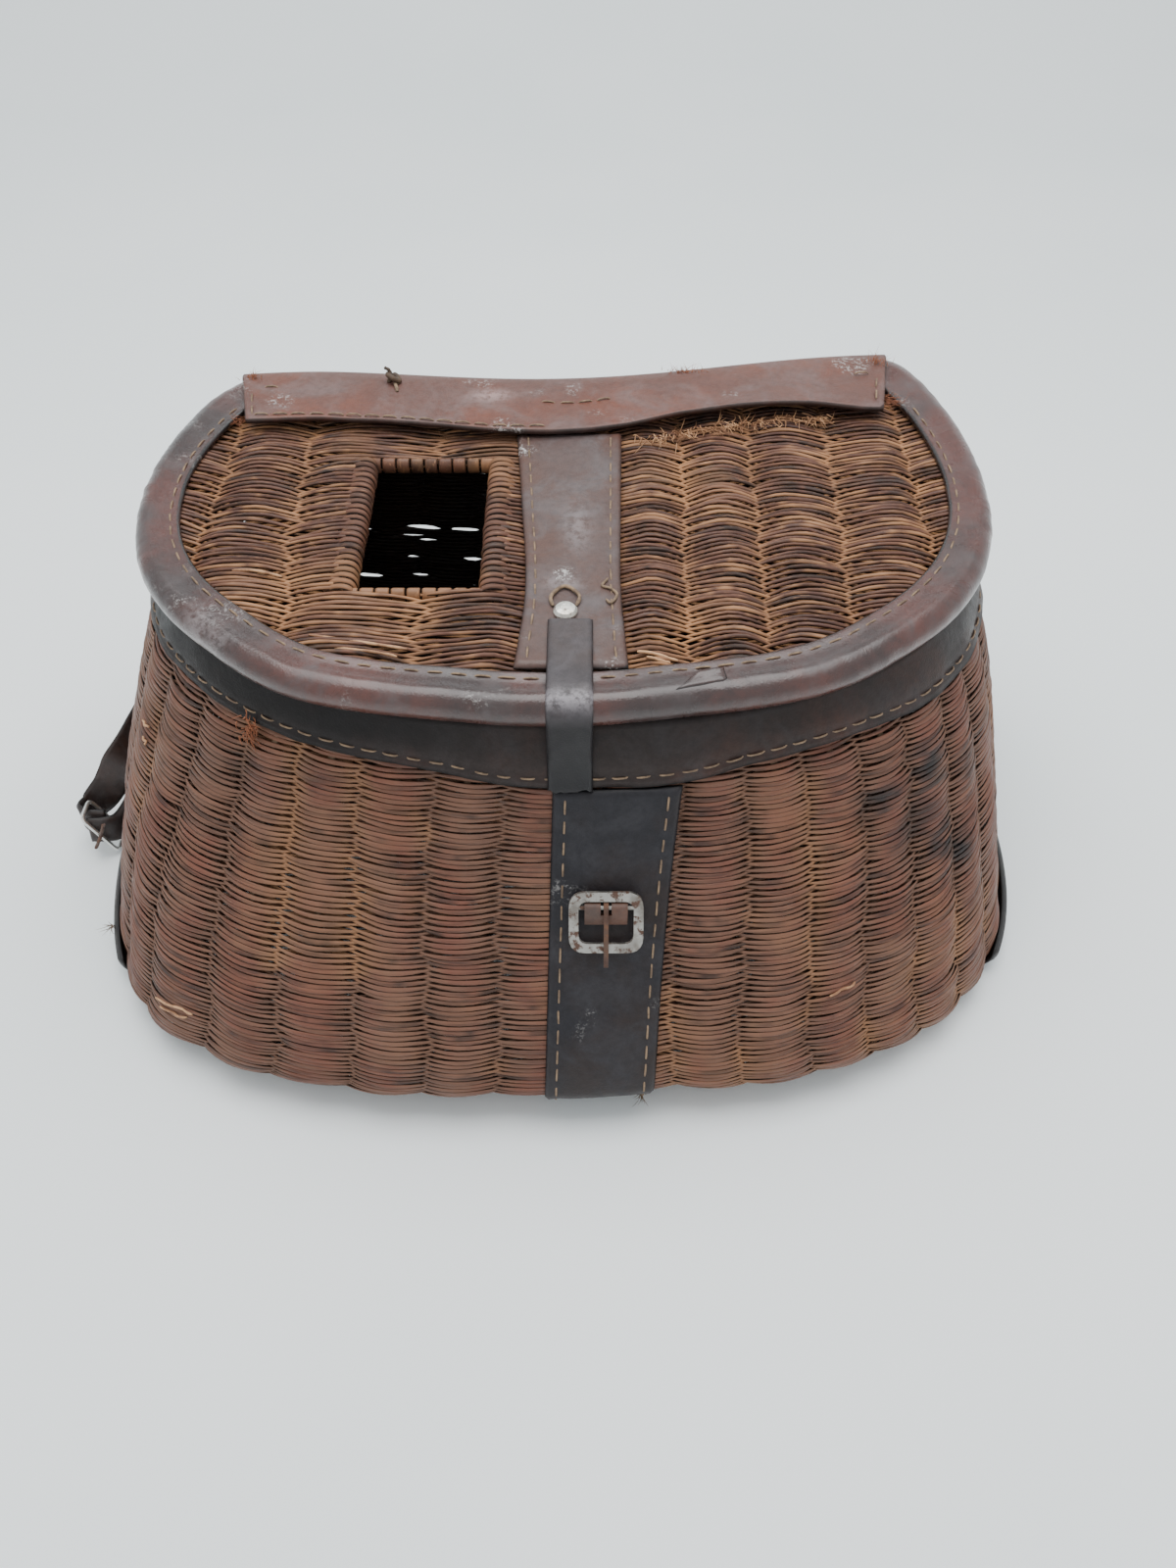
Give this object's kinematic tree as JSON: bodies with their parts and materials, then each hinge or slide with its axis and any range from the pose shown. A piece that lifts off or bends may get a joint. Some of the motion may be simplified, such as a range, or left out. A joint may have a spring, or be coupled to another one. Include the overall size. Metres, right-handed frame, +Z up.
{
  "type": "fishing creel bag",
  "caption": "D-shaped wicker fishing creel with a leather-bound hinged lid, square fish hole, front buckle band, latch strap and carrying strap.",
  "frame": {"origin": "middle of the base's underside, on the floor", "axes": "+X to the right as seen from the front, -Y out of the front with the buckle, +Z up"},
  "size_m": [0.4221, 0.2837, 0.1809],
  "materials": {
    "wicker_body": "old split willow, dull",
    "body_rim_band": "worn dark brown",
    "front_band": "worn near-black",
    "hinge_strip_body": "worn reddish brown",
    "lid_panel": "old split willow, dull",
    "lid_binding": "worn purple brown",
    "hinge_strip_lid": "worn reddish brown",
    "lid_band": "worn brown",
    "latch_strap": "worn slate",
    "latch_stud": "pitted nickel",
    "buckle_frame": "tarnished nickel",
    "buckle_chape": "worn brown",
    "buckle_prong": "rusted",
    "base_strip_left": "worn near-black",
    "base_strip_right": "worn near-black",
    "carry_strap_short": "worn dark brown",
    "carry_strap_long": "worn dark brown",
    "strap_buckle_frame": "bright nickel wire",
    "strap_buckle_prong": "dull steel"
  },
  "bodies": {
    "basket": {"wicker_body": "wicker_body", "body_rim_band": "body_rim_band", "front_band": "front_band", "hinge_strip_body": "hinge_strip_body", "buckle_frame": "buckle_frame", "buckle_chape": "buckle_chape", "base_strip_left": "base_strip_left", "base_strip_right": "base_strip_right", "carry_strap_short": "carry_strap_short", "carry_strap_long": "carry_strap_long", "strap_buckle_frame": "strap_buckle_frame", "strap_buckle_prong": "strap_buckle_prong"},
    "lid": {"lid_panel": "lid_panel", "lid_binding": "lid_binding", "lid_band": "lid_band", "hinge_strip_lid": "hinge_strip_lid", "latch_strap": "latch_strap", "latch_stud": "latch_stud"},
    "prong": {"buckle_prong": "buckle_prong"}
  },
  "joints": [
    {"name": "lid_hinge", "type": "hinge", "parent": "basket", "child": "lid", "pos_m": [0, 0.12157, 0.16559], "axis": [-0.9987, -0.0507, -0.0035], "range_deg": [0, 110]},
    {"name": "prong_hinge", "type": "hinge", "parent": "basket", "child": "prong", "pos_m": [0.01489, -0.10645, 0.09069], "axis": [-1, 0, 0], "range_deg": [0, 105]}
  ]
}
